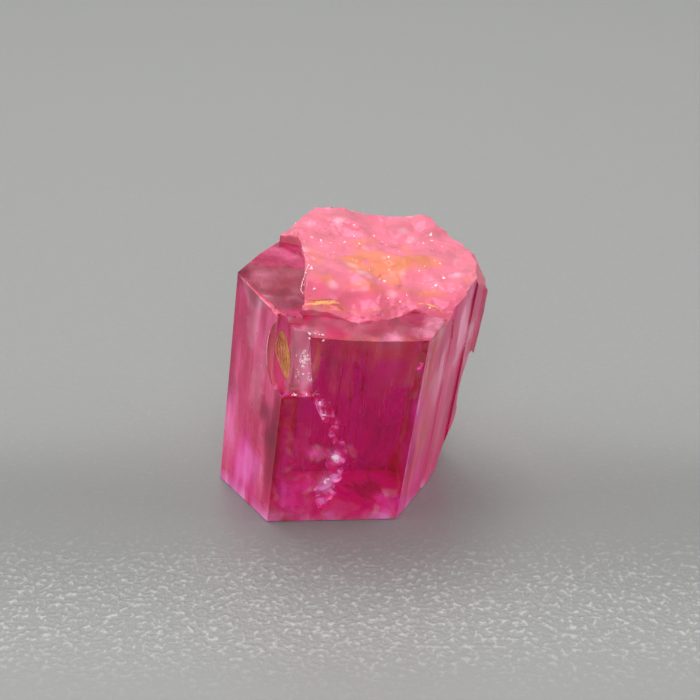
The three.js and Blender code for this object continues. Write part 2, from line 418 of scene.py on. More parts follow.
def mark_chips(bm, facet):
    """Gives -1 to the small crisp facets of the chips in the front face."""
    right, back, top = CHIP_ZONE
    for face in bm.faces:
        u, v, w = own(face.calc_center_median())
        if face[facet] == 0 and v > back and u < right and w < top:
            face[facet] = -1


def is_rough(edge, facet):
    return all(face[facet] == 0 for face in edge.link_faces)


def split_long(bm, facet, longest, longest_smooth):
    """Splits the edges that are too long for the broken surfaces or the smooth facets."""
    edges = [
        e for e in bm.edges
        if e.calc_length() > (
            longest if any(f[facet] == 0 for f in e.link_faces) else longest_smooth)]
    if edges:
        bmesh.ops.subdivide_edges(bm, edges=edges, cuts=1)
        bmesh.ops.triangulate(bm, faces=[f for f in bm.faces if len(f.verts) > 3])


def turn_pays(edge):
    """True if turning an edge within its two triangles makes them better shaped."""
    a, b = edge.verts
    c, d = (next(v for v in f.verts if v not in (a, b)) for f in edge.link_faces)
    if any(e.other_vert(c) is d for e in c.link_edges):
        return False
    across = (a.co - c.co).angle(b.co - c.co, 0.0) + (a.co - d.co).angle(b.co - d.co, 0.0)
    if across < TURN_GAIN:
        return False
    normal = edge.link_faces[0].normal + edge.link_faces[1].normal
    sides = [(d.co - c.co).cross(v.co - c.co).dot(normal) for v in (a, b)]
    return sides[0] * sides[1] < 0


def flip_edges(bm, facet):
    """Turns edges of the broken surfaces where that makes better triangles."""
    bm.normal_update()
    for edge in list(bm.edges):
        if not edge.is_valid or not edge.is_manifold or not is_rough(edge, facet):
            continue
        if edge.calc_face_angle() < FOLD and turn_pays(edge):
            bmesh.utils.edge_rotate(edge)


def soften(bm, facet, rounds, share):
    """Rounds off the coarse cells of the broken surfaces, away from smooth facets."""
    inner = [v for v in bm.verts if all(f[facet] == 0 for f in v.link_faces)]
    for _ in range(rounds):
        moved = []
        for v in inner:
            middle = Vector()
            for e in v.link_edges:
                middle += e.other_vert(v).co
            moved.append(v.co.lerp(middle / len(v.link_edges), share))
        for v, co in zip(inner, moved):
            v.co = co


def free_direction(vert, facet):
    """Which way a vertex may move so that the smooth facets around it stay flat."""
    normal = Vector()
    planes = []
    for face in vert.link_faces:
        if face[facet] == 0:
            normal += face.normal * face.calc_area()
        elif face[facet] < 0:
            return Vector()
        elif all(face.normal.dot(n) < SAME_PLANE for n in planes):
            planes.append(face.normal.copy())
    if normal.length == 0 or len(planes) > 2:
        return Vector()
    normal.normalize()
    if not planes:
        return normal
    if len(planes) == 1:
        return normal - planes[0] * normal.dot(planes[0])
    along = planes[0].cross(planes[1]).normalized()
    return along * normal.dot(along)


SHELL = (-0.2, 0.5, 0.6)  # u, v and radius of a smooth shell-like dip in the top break
SHELL_RELIEF = 0.25  # how deep the small facets are at its middle, as a share


def relief(vert):
    """How deep the small facets are at a vertex, as a share of their full depth."""
    u, v, _ = own(vert.co)
    across = math.hypot(u - SHELL[0], v - SHELL[1]) / SHELL[2]
    return SHELL_RELIEF + (1.0 - SHELL_RELIEF) * min(1.0, across * across)


PATCH_GRAIN = 2.2  # per mm, how finely the rims of patches wander

# Which kinds of surface are broken, and how hazy each kind is, from 0, clear, to 1.
BROKEN = ("top_break", "riser", "side_break", "base")
HAZE = {
    "terrace": 0.2, "corner": 0.1, "corner_back": 0.3, "niche": 0.45, "front": 0.0,
    "front_left": 0.42, "left": 0.4, "front_right": 0.45, "back_left": 0.3, "back": 0.3,
    "back_right": 0.3, "top_break": 0.72, "riser": 0.75, "side_break": 0.65, "chips": 0.15,
    "base": 0.7,
}
RIM_WEAR_AND_GLOW = 0.3  # in mm, how far up from the base the smooth faces get a hazy worn rim with a painted glow
CHIP_GRAIN = 7.0  # per mm, how closely the painted sparkles of the chips follow each other
CHIP_SPARKLE = 2.6  # how strongly sparkle is painted on the chips
BREAK_LOW = 4.2  # w above which a broken face that faces up is the top break
RISER_LOW = 4.3  # w above which a broken face that faces forward is the riser
RISER_BACK = 0.7  # v of the back of the riser between the top break and the terrace
TERRACE_BACK = 0.95  # v of the back of the terrace
NICHE_RIGHT = -0.5
NICHE_FLOOR = 3.1
NICHE_REACH = (1.6, 1.89)  # v of the niche's back and of its front
SIDE_TURNS = {
    0: "front", 60: "front_right", 120: "back_right", 180: "back", 240: "back_left",
    270: "left", 300: "front_left"}
BREAK_FADE = (0.3, 0.5)  # v where the top break starts to deepen in colour, and how far


def surface_kind(face, facet):
    """Which of the crystal's surfaces a triangle lies on."""
    middle = face.calc_center_median()
    u, v, w = own(middle)
    out = own_direction(face.normal)
    if face.normal.z < -0.999 and abs(middle.z) < 1e-3:
        return "base"
    if face[facet] < 0:
        return "chips"
    if face[facet] == 0:
        if w > RISER_LOW and v > RISER_BACK and out.y > 0.4:
            return "riser"
        return "top_break" if w > BREAK_LOW and out.z > UPWARD else "side_break"
    if out.z > 0.9:
        if v > TERRACE_BACK:
            return "terrace"
        return "corner" if v > 0.0 else "corner_back"
    if u < NICHE_RIGHT and w > NICHE_FLOOR and NICHE_REACH[0] < v < NICHE_REACH[1]:
        return "niche"
    turn = math.degrees(math.atan2(out.x, out.y)) % 360
    return SIDE_TURNS[min(SIDE_TURNS, key=lambda a: abs((turn - a + 180) % 360 - 180))]


def clamp(value):
    return min(1.0, max(0.0, value))


# Iron-stained patches of the top: centre (u, v, w), reach and how far the rim wanders.
STAINED = (
    ((0.6, -0.25, 4.6), (1.15, 0.75, 1.0), 1.0),
    ((0.15, 0.55, 4.6), (0.8, 0.25, 1.0), 0.8),
    ((1.35, 0.55, 4.6), (0.5, 0.25, 1.0), 0.8),
    ((-0.5, 1.05, 4.5), (0.5, 0.2, 0.3), 0.5),
)

# Patches of the front face: centre (u, w), reach along u, w and v, how far the rim wanders,
# haze added, share of the colour taken on and the name of that colour.
FRONT_PATCHES = (
    # The first two paint the sky's reflection across the top of the front in brown; the third is a
    # narrow brown bar.
    (0.3, 4.45, 1.0, 0.55, 0.3, 0.5, 0.14, 0.7, "brown"),
    (0.7, 4.1, 0.9, 0.55, 0.3, 0.8, 0.14, 0.8, "brown"),
    (-0.54, 3.95, 0.08, 0.5, 0.1, 0.1, 0.4, 0.9, "brown"),
    (0.04, 3.7, 0.06, 0.6, 0.2, 0.2, 0.16, 0.8, "haze"),
    (-0.2, 3.9, 0.1, 0.5, 0.2, 0.8, 0.12, 0.8, "haze"),
    (0.6, 3.6, 0.3, 0.7, 0.2, 1.2, 0.05, 0.8, "magenta"),
    (0.28, 3.5, 0.2, 0.45, 0.2, 0.8, 0.0, 0.45, "deep_haze"),
    (0.45, 2.85, 0.45, 0.3, 0.2, 1.2, 0.0, 0.4, "deep_haze"),
    (0.85, 2.6, 0.3, 0.5, 0.2, 1.2, 0.0, 0.4, "deep_haze"),
    (1.1, 1.8, 0.4, 0.25, 0.2, 1.0, 0.0, 0.5, "deep_haze"),
    (0.55, 1.75, 0.4, 0.3, 0.2, 1.2, 0.0, 0.4, "deep_haze"),
    (0.6, 1.1, 0.55, 0.3, 0.2, 1.0, 0.06, 0.9, "deep_haze"),
    (-0.75, 2.6, 0.3, 0.6, 0.2, 1.2, 0.0, 0.5, "deep_haze"),
    (-0.2, 1.5, 0.15, 0.6, 0.2, 0.8, 0.0, 0.5, "deep_haze"),
    # Painted light: the next five paint bright glints and pink glow beside the chips, and the three
    # after them the pink glow of light gathered along the base.
    (-0.62, 2.2, 0.1, 0.8, 0.2, 0.8, 0.12, 0.9, "hot"),
    (-0.36, 1.87, 0.22, 0.16, 0.2, 0.6, 0.4, 1.0, "hot"),
    (0.02, 1.78, 0.16, 0.2, 0.2, 0.3, 1.0, 1.0, "glint"),
    (-0.1, 1.15, 0.2, 0.4, 0.2, 0.5, 0.5, 1.0, "glint"),
    (-0.45, 1.2, 0.2, 0.35, 0.2, 0.9, 0.3, 1.0, "hot"),
    (-0.8, 0.85, 0.4, 0.5, 0.3, 1.2, 0.35, 1.0, "hot"),
    (0.3, 0.7, 1.2, 0.25, 0.3, 1.2, 0.2, 0.9, "hot"),
    (1.1, 0.65, 0.5, 0.4, 0.3, 1.0, 0.35, 1.0, "hot"),
    (0.3, 2.0, 0.12, 0.14, 0.2, 0.5, 0.3, 1.0, "haze"),
    (-0.93, 1.8, 0.2, 1.4, 0.2, 0.5, 0.3, 1.0, "magenta"),
    (1.35, 2.3, 0.26, 1.7, 0.2, 0.6, 0.3, 1.0, "magenta"),
    (-0.27, 4.1, 0.22, 0.09, 0.2, 0.5, 0.05, 0.7, "deep_haze"),
    (-0.25, 3.88, 0.2, 0.08, 0.2, 0.5, 0.05, 0.7, "deep_haze"),
    (-0.35, 3.68, 0.12, 0.08, 0.2, 0.5, 0.05, 0.7, "deep_haze"),
)
# All patches of the smooth faces: centre (u, v, w) and reach, then the same terms.
PATCHES = tuple(
    ((u, FRONT_FACE, w), (wide, deep, high), *rest)
    for u, w, wide, high, deep, *rest in FRONT_PATCHES
) + (
    # the niche above the ledge
    ((-0.8, 1.72, 3.85), (0.4, 0.2, 1.1), 0.2, 0.55, 1.0, "pale_haze"),
    # This pale patch paints the niche's sparkle.
    ((-0.76, 1.76, 3.88), (0.12, 0.15, 0.16), 0.4, 0.2, 0.5, "pale_highlight"),
    ((-0.95, 1.76, 3.9), (0.1, 0.15, 0.6), 0.6, 0.0, 0.6, "mauve"),
    # the face left of the front; its first three patches paint the pink glow of light gathered near
    # the base
    ((-1.55, 1.05, 0.8), (0.45, 0.7, 0.9), 0.5, 0.45, 0.9, "hot"),
    ((-1.44, 1.24, 0.85), (0.35, 0.5, 0.45), 0.8, 0.3, 0.45, "glint"),
    ((-1.85, 0.55, 1.4), (0.2, 0.4, 0.8), 0.6, 0.2, 0.7, "hot"),
    ((-1.12, 1.8, 1.8), (0.26, 0.42, 1.7), 0.3, -0.22, 1.0, "deep_haze"),
    ((-1.27, 1.5, 2.45), (0.25, 0.4, 0.5), 0.4, -0.16, 0.9, "deep_haze"),
    ((-1.45, 1.2, 2.9), (0.15, 0.25, 0.8), 0.8, 0.1, 0.6, "pale_haze"),
    ((-1.62, 0.95, 3.9), (0.15, 0.3, 0.8), 0.8, 0.15, 0.8, "pale_haze"),
    ((-1.9, 0.4, 2.4), (0.2, 0.3, 0.9), 0.8, -0.1, 0.5, "deep_haze"),
    ((-1.45, 1.25, 4.1), (0.12, 0.2, 0.5), 0.6, 0.0, 0.4, "deep_haze"),
    # the faces on the right
    ((1.8, 1.05, 3.3), (0.3, 0.5, 0.6), 1.2, 0.2, 0.8, "pale_haze"),
    ((2.25, 0.25, 3.6), (0.35, 0.6, 0.8), 1.0, 0.5, 0.9, "pale_haze"),
    ((1.45, 1.65, 3.9), (0.15, 0.3, 0.6), 1.0, 0.1, 0.7, "brown"),
    ((1.6, 1.4, 2.3), (0.12, 0.25, 0.8), 1.0, 0.0, 0.6, "brown"),
    # The hot patch near the base paints a pink glow of gathered light.
    ((1.6, 1.35, 0.9), (0.4, 0.6, 0.5), 0.8, 0.2, 0.8, "hot"),
    ((2.2, 0.3, 1.8), (0.3, 0.5, 0.9), 1.0, 0.0, 0.4, "deep_haze"),
    # the corner facet, whose mauve and deep haze paint a dark reflection over its darker inside,
    # and the terrace
    ((-1.88, 0.3, END_FACE), (0.16, 0.3, 0.2), 0.3, 0.1, 1.0, "deep_haze"),
    ((-1.6, 0.7, END_FACE), (0.35, 0.4, 0.2), 1.0, 0.15, 0.6, "pale_haze"),
    ((-1.3, 0.9, END_FACE), (0.6, 0.4, 0.2), 0.8, 0.05, 0.9, "mauve"),
    ((-1.13, 1.1, END_FACE), (0.3, 0.3, 0.2), 0.8, 0.0, 0.4, "deep_haze"),
    ((0.3, 1.5, 4.46), (1.2, 0.4, 0.2), 0.8, 0.03, 0.8, "mauve"),
    ((1.3, 1.55, 4.46), (0.35, 0.5, 0.2), 0.6, 0.35, 0.9, "pale_haze"),
)

# The colours of kinds of surface and of patches, by the names of their properties.
TONES = (
    "facet", "break", "deep_break", "base", "stain", "haze", "pale_haze", "deep_haze", "hot",
    "glint", "pale_highlight", "magenta", "mauve", "brown")


def patch_share(point, centre, reach, wander):
    """How much of a soft patch a point has: 1 at its centre, 0 past its wandering rim."""
    away = math.sqrt(sum(((p - c) / r) ** 2 for p, c, r in zip(point, centre, reach)))
    if away > 1.0 + wander:
        return 0.0
    away += wander * noise.fractal(Vector(point) * PATCH_GRAIN, 1.0, 2.0, 4)
    rise = clamp((1.0 - away) / 0.8)
    return rise * rise * (3.0 - 2.0 * rise)


class Patches:
    """The haze and the colour of each kind of surface, with its patches."""

    def __init__(self, props):
        self.tones = {name: Vector(getattr(props, f"{name}_colour")) for name in TONES}
        self.known = {}

    def finish(self, kind, vert):
        """The haze and the colour of a kind of surface at a vertex."""
        key = (kind, vert.index)
        if key not in self.known:
            haze, tone = self.work_out(kind, own(vert.co))
            if kind not in BROKEN:
                # Along the base the smooth faces get a hazy worn rim, and the glint colour there
                # paints a pink glow of gathered light.
                rim = max(0.0, 1.0 - vert.co.z / RIM_WEAR_AND_GLOW)
                rim *= clamp(0.5 + 2.0 * noise.noise(vert.co * 3.0))
                haze = min(1.0, haze + 0.5 * rim)
                tone = tone.lerp(self.tones["glint"], min(1.0, 2.0 * rim))
            self.known[key] = haze, tone
        return self.known[key]

    def work_out(self, kind, point):
        haze = HAZE[kind]
        tones = self.tones
        if kind in BROKEN:
            tone = tones["base" if kind == "base" else "break"]
            if kind in ("top_break", "riser"):
                stain = max(patch_share(point, *stained) for stained in STAINED)
                # The break is deeper in colour where it runs down to the terrace.
                front = clamp((point[1] - BREAK_FADE[0]) / BREAK_FADE[1])
                haze -= 0.12 * front
                tone = tone.lerp(tones["stain"], stain).lerp(tones["deep_break"], 0.6 * front)
            return haze, tone
        if kind == "chips":
            # Painted sparkle: pale glint-coloured blotches over the chips' facets.
            pale_highlight = clamp(CHIP_SPARKLE * noise.fractal(Vector(point) * CHIP_GRAIN, 1.0, 2.0, 3))
            haze += 0.75 * pale_highlight
            tone = tones["hot"].lerp(tones["glint"], pale_highlight)
        else:
            tone = tones["facet"].lerp(tones["haze"], min(1.0, 6.0 * haze))
        for centre, reach, wander, added, share, name in PATCHES:
            spot = patch_share(point, centre, reach, wander)
            haze += spot * added
            # Even thin haze shows its own colour, so a hazy patch takes it on at its rim.
            taken = min(1.0, 5.0 * spot) if added > 0.0 else spot
            tone = tone.lerp(tones[name], taken * share)
        return clamp(haze), tone


def crystal_base(props):
    """The crystal in mm with fine broken surfaces, and the attributes its finish reads."""
    bm = crystal_start()
    facet = bm.faces.layers.int.new("facet")
    mark_facets(bm, facet)
    mark_chips(bm, facet)
    for longest in (*SPLIT_STEPS, props.grain_edge / MM):
        split_long(bm, facet, longest, max(4 * longest, props.facet_edge / MM))
        flip_edges(bm, facet)
    soften(bm, facet, rounds=3, share=0.5)
    bm.normal_update()
    give = bm.verts.layers.float_vector.new("give")
    for v in bm.verts:
        v[give] = free_direction(v, facet) * relief(v)
    broken = bm.faces.layers.float.new("broken")
    haze = bm.loops.layers.float.new("haze")
    tone = bm.loops.layers.float_color.new("tone")
    bm.verts.index_update()
    patches = Patches(props)
    for face in bm.faces:
        kind = surface_kind(face, facet)
        face[broken] = 1.0 if kind in BROKEN else 0.0
        face.smooth = True
        for loop in face.loops:
            loop[haze], colour = patches.finish(kind, loop.vert)
            loop[tone] = (*colour, 1.0)
    return finished(bm, "crystal_base")


def sharpen(mesh):
    """Marks the facets' rims and the sharp folds of the broken surfaces as sharp."""
    bm = bmesh.new()
    bm.from_mesh(mesh)
    facet = bm.faces.layers.int["facet"]
    for edge in bm.edges:
        numbers = {face[facet] for face in edge.link_faces}
        bend = edge.calc_face_angle(0.0)
        folded = numbers == {0} and bend > FOLD or numbers == {-1} and bend > FACET_BEND
        edge.smooth = len(numbers) == 1 and not folded
    bm.to_mesh(mesh)
    bm.free()


def facet_height(make, position, rate, depth):
    """Height of flat patches, so many to the mm, each tilted its own way."""
    scaled = make.vector("SCALE", position, rate)
    cells = make("ShaderNodeTexVoronoi", {"Vector": scaled, "Scale": 1.0}).node.outputs
    across = make.vector("SUBTRACT", scaled, cells["Position"])
    tilt = make.vector("SUBTRACT", cells["Color"], (0.5, 0.5, 0.5))
    return make.math("MULTIPLY", make.vector("DOT_PRODUCT", across, tilt, "Value"), depth)


def broken_surface_tree():
    """Geometry Nodes: pushes the broken surfaces in and out as small tilted facets."""
    make, start = start_tree("broken_surface", {
        "Coarse Size": 0.3, "Coarse Depth": 0.05, "Fine Size": 0.12, "Fine Depth": 0.02,
        "Wave Size": 0.8, "Wave Depth": 0.05, "Stretch": 0.35, "Seed": 4.0})
    give = make.attribute("give", "FLOAT_VECTOR")
    # Cells are drawn out along the long axis, so the side breaks come out striated.
    upright = make(
        "ShaderNodeVectorRotate",
        {"Vector": make("GeometryNodeInputPosition"),
         "Rotation": tuple(LEAN.transposed().to_euler())}, rotation_type="EULER_XYZ")
    draw = make("ShaderNodeCombineXYZ", {0: 1.0, 1: 1.0, 2: start["Stretch"]})
    drawn = make.vector("MULTIPLY", upright, draw)
    spread = make.vector("ADD", drawn, start["Seed"])
    total = 0.0
    for step in ("Coarse", "Fine"):
        rate = make.math("DIVIDE", 1.0, start[f"{step} Size"])
        height = facet_height(make, spread, rate, start[f"{step} Depth"])
        total = make.math("ADD", height, total)
    wave = make.noise(drawn, make.math("DIVIDE", 1.0, start["Wave Size"]), 3.0)
    level = make.math("SUBTRACT", wave, 0.7)
    total = make.math("MULTIPLY_ADD", level, start["Wave Depth"], total)
    return end_tree(make, make.move(start["Geometry"], make.vector("SCALE", give, total)), start)


STREAK_STRETCH = 0.17  # how much the streaks' pattern is drawn out along the long axis
LINE_DEPTH = 0.00002  # in metres, depth of the growth lines' bump


def beryl_material(props):
    """Clear red beryl: coloured through its depth, hazy pink where it is broken or etched."""
    material, make = start_material("red_beryl")
    coords = make.own_coords()
    broken = make.painted("broken", "Fac")
    haze = make.painted("haze", "Fac")
    tone = make.painted("tone", "Color")

    # The broken surfaces: mottling, and scattered pale spots that paint highlights over the tone.
    mottle = make.noise(coords, 2.2, 2.0)
    deep = make.ramp(mottle, 0.4, 0.72, 0.0, 0.42)
    rough_colour = make.blend(deep, tone, props.deep_break_colour)
    cells = make("ShaderNodeTexVoronoi", {"Vector": coords, "Scale": 1.7})
    pale_highlight = make.ramp(cells, 0.05, 0.28, 0.4, 0.0, "SMOOTHSTEP")
    rough_colour = make.blend(pale_highlight, rough_colour, props.pale_highlight_colour)

    # The smooth faces: haze in paler and deeper streaks along the long axis.
    drawn = make.vector("MULTIPLY", coords, (1.0, 1.0, STREAK_STRETCH))
    streak = make(
        "ShaderNodeTexNoise", {"Vector": drawn, "Scale": 2.2, "Detail": 3.0, "Roughness": 0.6})
    streaks = make.ramp(streak, 0.36, 0.66, 0.5, 1.6)
    patchy = make.ramp(mottle, 0.35, 0.65, 0.8, 1.2)
    uneven = make("ShaderNodeMix", {0: broken, 2: streaks, 3: patchy}, data_type="FLOAT")
    hazy = make.math("MULTIPLY", haze, uneven, use_clamp=True)
    pale = make.ramp(streak, 0.5, 0.72, 0.0, 0.9)
    smooth_colour = make.blend(
        make.math("MULTIPLY", pale, haze, use_clamp=True), tone, props.pale_haze_colour)

    # Fine growth lines along the long axis, seen in the gloss.
    lines = make.noise(drawn, 6.0, 2.0)
    bump = make("ShaderNodeBump", {"Strength": 0.3, "Distance": LINE_DEPTH, "Height": lines})
    shader = make(
        "ShaderNodeBsdfPrincipled",
        {"Base Color": make.blend(broken, smooth_colour, rough_colour),
         "Roughness": make.ramp(haze, 0.0, 0.5, 0.04, 0.3),
         "Transmission Weight": make.math("SUBTRACT", 1.0, hazy),
         "IOR": props.ior, "Normal": bump, "Specular Tint": (*props.gloss_tint, 1)})
    absorb = make(
        "ShaderNodeVolumeAbsorption", {"Color": (*props.tint, 1), "Density": props.density})
    make("ShaderNodeOutputMaterial", {"Surface": shader, "Volume": absorb})
    return material


class REDBERYL_OT_crystal(bpy.types.Operator):
    """Make the crystal with its facets, its broken surfaces and its clear red finish"""

    bl_idname = "redberyl.crystal"
    bl_label = "Crystal"

    def execute(self, context):
        props = context.scene.red_beryl_crystal
        piece = grow("crystal", crystal_base(props), broken_surface_tree(), {
            "Coarse Size": props.coarse_size / MM, "Coarse Depth": props.coarse_depth / MM,
            "Fine Size": props.fine_size / MM, "Fine Depth": props.fine_depth / MM,
            "Wave Depth": props.wave_depth / MM, "Material": beryl_material(props),
        })
        sharpen(piece.data)
        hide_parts(NODE)
        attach(piece, BODY)
        return {"FINISHED"}


# ---- inclusions

RAY = (0.03, 0.02, 1.0)  # nearly straight up, and along none of the crystal's edges
MOST_CROSSINGS = 40  # surfaces that the ray may pass
DROP = (0.6, 2.0)  # in mm, the height that points are dropped from and how far they may fall
FILM_STEP = 0.04  # in mm, between the points of a film's path
TIP_WIDTH = 0.25  # width of a path's ends, as a share of its full width


class Surface:
    """The finished crystal's surface, for laying films and flakes on it."""

    def __init__(self):
        mesh = bpy.data.objects["crystal"].data
        points = [v.co / MM for v in mesh.vertices]
        self.tree = BVHTree.FromPolygons(points, [tuple(p.vertices) for p in mesh.polygons])

    def holds(self, point):
        """True if a point, in mm, lies inside the crystal."""
        crossings = 0
        start = Vector(point)
        for _ in range(MOST_CROSSINGS):
            hit = self.tree.ray_cast(start, Vector(RAY))[0]
            if hit is None:
                break
            crossings += 1
            start = hit + Vector((0.0, 0.0, 1e-5))
        return crossings % 2 == 1

    def keep_inside(self, mesh, size):
        """Deletes the flakes of a mesh, each of so many vertices, that stick out."""
        bm = bmesh.new()
        bm.from_mesh(mesh)
        bm.verts.ensure_lookup_table()
        outside = []
        for first in range(0, len(bm.verts), size):
            flake = bm.verts[first:first + size]
            if not all(self.holds(v.co / MM) for v in (flake[0], flake[size // 2], flake[-1])):
                outside += flake
        bmesh.ops.delete(bm, geom=outside, context="VERTS")
        bm.to_mesh(mesh)
        bm.free()

    def lay(self, mesh, size):
        """Moves the flakes of a mesh, each of so many vertices, onto the surface."""
        for first in range(0, len(mesh.vertices), size):
            flake = [mesh.vertices[i] for i in range(first, first + size)]
            middle = sum((v.co for v in flake), Vector()) / size
            shift = self.tree.find_nearest(middle / MM)[0] * MM - middle
            for v in flake:
                v.co += shift

    def settle(self, point, facing, sink):
        """Drops a point (u, v, w) on the surface against its facing, and a little under it."""
        out = outwards(facing).normalized()
        start = place(*point) + out * DROP[0]
        hit = self.tree.ray_cast(start, -out, DROP[1])[0]
        if hit is None:
            raise RuntimeError(f"no surface under {point}")
        return hit - out * sink


def fine_path(points, step):
    """Points about a step apart along straight lines through the given points."""
    points = [Vector(p) for p in points]
    fine = [points[0]]
    for a, b in zip(points, points[1:]):
        parts = max(1, round((b - a).length / step))
        fine += [a.lerp(b, (i + 1) / parts) for i in range(parts)]
    return fine


def path_mesh(name, paths):
    """Paths as edges in mm. A path is its points, its facing and its half width in mm."""
    bm = bmesh.new()
    out = bm.verts.layers.float_vector.new("out")
    half = bm.verts.layers.float.new("half_width")
    for points, facing, width in paths:
        row = []
        for i, point in enumerate(points):
            vert = bm.verts.new(point)
            vert[out] = outwards(facing)
            along = i / (len(points) - 1)
            vert[half] = width * (TIP_WIDTH + (1 - TIP_WIDTH) * math.sin(math.pi * along))
            row.append(vert)
        for pair in zip(row, row[1:]):
            bm.edges.new(pair)
    return finished(bm, name)


def film_tree():
    """Geometry Nodes: a thin, ragged, wavy film along each path, as wide as the path says."""
    make, start = start_tree("stain_film", {
        "Step": 0.02, "Thickness": 0.25, "Rag Size": 0.05, "Rag": 1.2, "Wave Size": 0.16,
        "Wave Depth": 0.03, "Seed": 3.0})
    lines = make("GeometryNodeMeshToCurve", {"Mesh": start["Geometry"]})
    smooth = make("GeometryNodeCurveSplineType", {"Curve": lines}, spline_type="CATMULL_ROM")
    fine = make(
        "GeometryNodeResampleCurve", {"Curve": smooth, "Length": start["Step"]}, mode="LENGTH")
    out = make.attribute("out", "FLOAT_VECTOR")
    turned = make("GeometryNodeSetCurveNormal", {"Curve": fine, "Normal": out}, mode="FREE")
    position = make("GeometryNodeInputPosition")
    rag = make.noise(position, make.math("DIVIDE", 1.0, start["Rag Size"]), 2.0, start["Seed"])
    width = make.math(
        "MULTIPLY", make.attribute("half_width", "FLOAT"),
        make.ramp(rag, 0.3, 0.7, 0.25, start["Rag"]))
    ring = make("GeometryNodeCurvePrimitiveCircle", {"Resolution": 6, "Radius": 1.0})
    flat = make("ShaderNodeCombineXYZ", {0: start["Thickness"], 1: 1.0, 2: 1.0})
    section = make("GeometryNodeTransform", {"Geometry": ring, "Scale": flat})
    body = make(
        "GeometryNodeCurveToMesh",
        {"Curve": turned, "Profile Curve": section, "Scale": width, "Fill Caps": True})
    wave = make.noise(
        position, make.math("DIVIDE", 1.0, start["Wave Size"]), 2.0, start["Seed"], "Color")
    centred = make.vector("SUBTRACT", wave, (0.5, 0.5, 0.5))
    # The film wanders within its own plane, so that it stays on the surface.
    lift = make.vector("PROJECT", centred, out)
    inplane = make.vector("SUBTRACT", centred, lift)
    offset = make.vector("SCALE", inplane, start["Wave Depth"])
    return end_tree(make, make.move(body, offset), start)


def on_front_left(along, w):
    """A point of the smooth face left of the front, by how far along the face it lies."""
    return -1.619 + 0.5 * along, 0.935 + 0.866 * along, w


# The stain film in the chip left of the front runs between two rims, each a row of points
# (along the face, height).
LEAF_RIMS = (
    ((0.62, 4.15), (0.54, 3.98), (0.51, 3.8), (0.54, 3.62), (0.66, 3.46), (0.86, 3.33)),
    ((0.65, 4.15), (0.75, 4.02), (0.84, 3.85), (0.91, 3.68), (0.94, 3.5), (0.94, 3.33)),
)
LEAF_STRIPS = 7
LEAF_WIDTH = 0.05  # half the width of one strip, in mm
# Its strands, in the same terms, with half widths in mm.
LEAF_STRANDS = (
    (((0.66, 4.16), (0.57, 4.0), (0.54, 3.82), (0.60, 3.62), (0.76, 3.44), (0.92, 3.3)), 0.012),
    (((0.67, 4.14), (0.66, 3.98), (0.68, 3.82), (0.74, 3.62), (0.86, 3.45)), 0.014),
    (((0.68, 4.16), (0.73, 4.0), (0.76, 3.82), (0.84, 3.6), (0.93, 3.36)), 0.012),
    (((0.70, 4.12), (0.80, 4.02), (0.90, 3.86), (0.96, 3.62), (0.98, 3.45)), 0.008),
    (((0.57, 4.0), (0.66, 3.9), (0.72, 3.8)), 0.01),
    (((0.62, 3.9), (0.70, 3.74), (0.80, 3.64)), 0.01),
    (((0.60, 3.68), (0.70, 3.6), (0.80, 3.48)), 0.01),
)


def leaf_strip(share):
    """A row of points down the stain film, a share of the way between its rims."""
    left, right = LEAF_RIMS
    return tuple(
        on_front_left(*Vector(a).lerp(Vector(b), share)) for a, b in zip(left, right))


# Broad ochre films on the surface: points (u, v, w), facing and half width in mm.
STAIN_FILMS = (
    (((-0.78, 1.12, 4.52), (-0.62, 1.1, 4.56), (-0.5, 1.05, 4.58), (-0.3, 1.0, 4.56),
      (-0.2, 0.98, 4.5)), RISER, 0.07),
    (((1.15, 0.92, 4.5), (1.33, 0.84, 4.5), (1.5, 0.92, 4.5), (1.62, 1.05, 4.5)), UP, 0.035),
    (((-0.78, 1.14, 4.46), (-0.5, 1.14, 4.46), (-0.1, 1.12, 4.46), (0.2, 1.12, 4.46),
      (0.5, 1.08, 4.46), (0.88, 0.86, 4.46), (1.2, 0.86, 4.46)), UP, 0.013),
)

# Thin brown lines on the surface, in the same terms.
STAIN_LINES = (
    (((-0.76, 1.04, 4.6), (-0.6, 1.02, 4.6), (-0.42, 0.98, 4.62), (-0.25, 0.94, 4.6)),
     RISER, 0.012),
    (((-0.26, 1.0, 4.55), (-0.18, 1.08, 4.5), (-0.1, 1.13, 4.46)), UP, 0.02),
    (((-1.02, 1.9, 3.15), (-0.9, 1.9, 3.16), (-0.75, 1.9, 3.16), (-0.55, 1.9, 3.12)),
     FRONT, 0.009),
    (((-1.05, 1.9, 3.32), (-0.9, 1.9, 3.26), (-0.77, 1.9, 3.3)), FRONT, 0.014),
    (((-0.54, 1.9, 3.16), (-0.5, 1.9, 3.28), (-0.44, 1.9, 3.36)), FRONT, 0.016),
    (((-1.0, 1.78, 4.3), (-0.97, 1.78, 3.9), (-1.0, 1.78, 3.4)), FRONT, 0.008),
    (((-0.66, 1.78, 4.35), (-0.68, 1.78, 4.0), (-0.62, 1.78, 3.6)), FRONT, 0.007),
    (((-0.95, 1.78, 3.7), (-0.85, 1.78, 3.6), (-0.8, 1.78, 3.4)), FRONT, 0.007),
    (((1.84, 0.98, 4.4), (1.88, 0.9, 4.2), (1.9, 0.87, 3.9)), FRONT_RIGHT, 0.03),
    (((1.3, 1.9, 4.5), (1.45, 1.66, 4.5), (1.66, 1.3, 4.5)), FRONT_RIGHT, 0.014),
    (((-0.62, 1.89, 4.46), (0.1, 1.89, 4.46), (0.7, 1.89, 4.46), (1.3, 1.89, 4.46)),
     UP, 0.006),
)


STAIN_GRAIN = (9.0, 4.0)  # blotches to the mm, and how much fine detail they have


